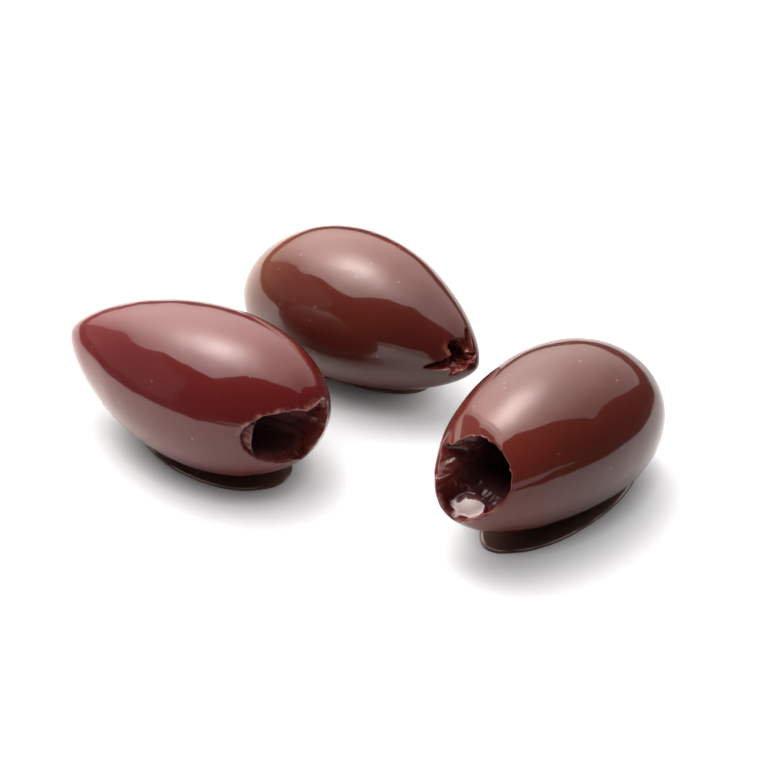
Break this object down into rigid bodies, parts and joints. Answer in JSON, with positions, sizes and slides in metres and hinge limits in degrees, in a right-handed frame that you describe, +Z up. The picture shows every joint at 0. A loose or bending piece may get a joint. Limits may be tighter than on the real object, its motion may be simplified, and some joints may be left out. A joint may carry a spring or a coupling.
{
  "type": "pitted olives",
  "caption": "Glossy brined olives, pitted through a torn end, lying as a loose group on a table; each has a hollow where its stone was.",
  "frame": {"origin": "on the table, under the middle of the box round the three olives", "axes": "+Z up. +X is the way the mouths of the left and the rear olive point. The right olive's mouth points along -Y."},
  "size_m": [0.0622, 0.0382, 0.0183],
  "materials": {
    "skin_left": "wet, glossy, crimson brown skin with wet red brown flesh in the torn mouth",
    "skin_right": "wet, glossy, red brown skin with wet red brown flesh in the torn mouth",
    "skin_rear": "wet, glossy, brown skin, olive brown at the closed end, with coarse dark red flesh in the tear"
  },
  "bodies": {
    "root": {"olive_left": "skin_left", "olive_right": "skin_right", "olive_rear": "skin_rear"}
  },
  "joints": []
}
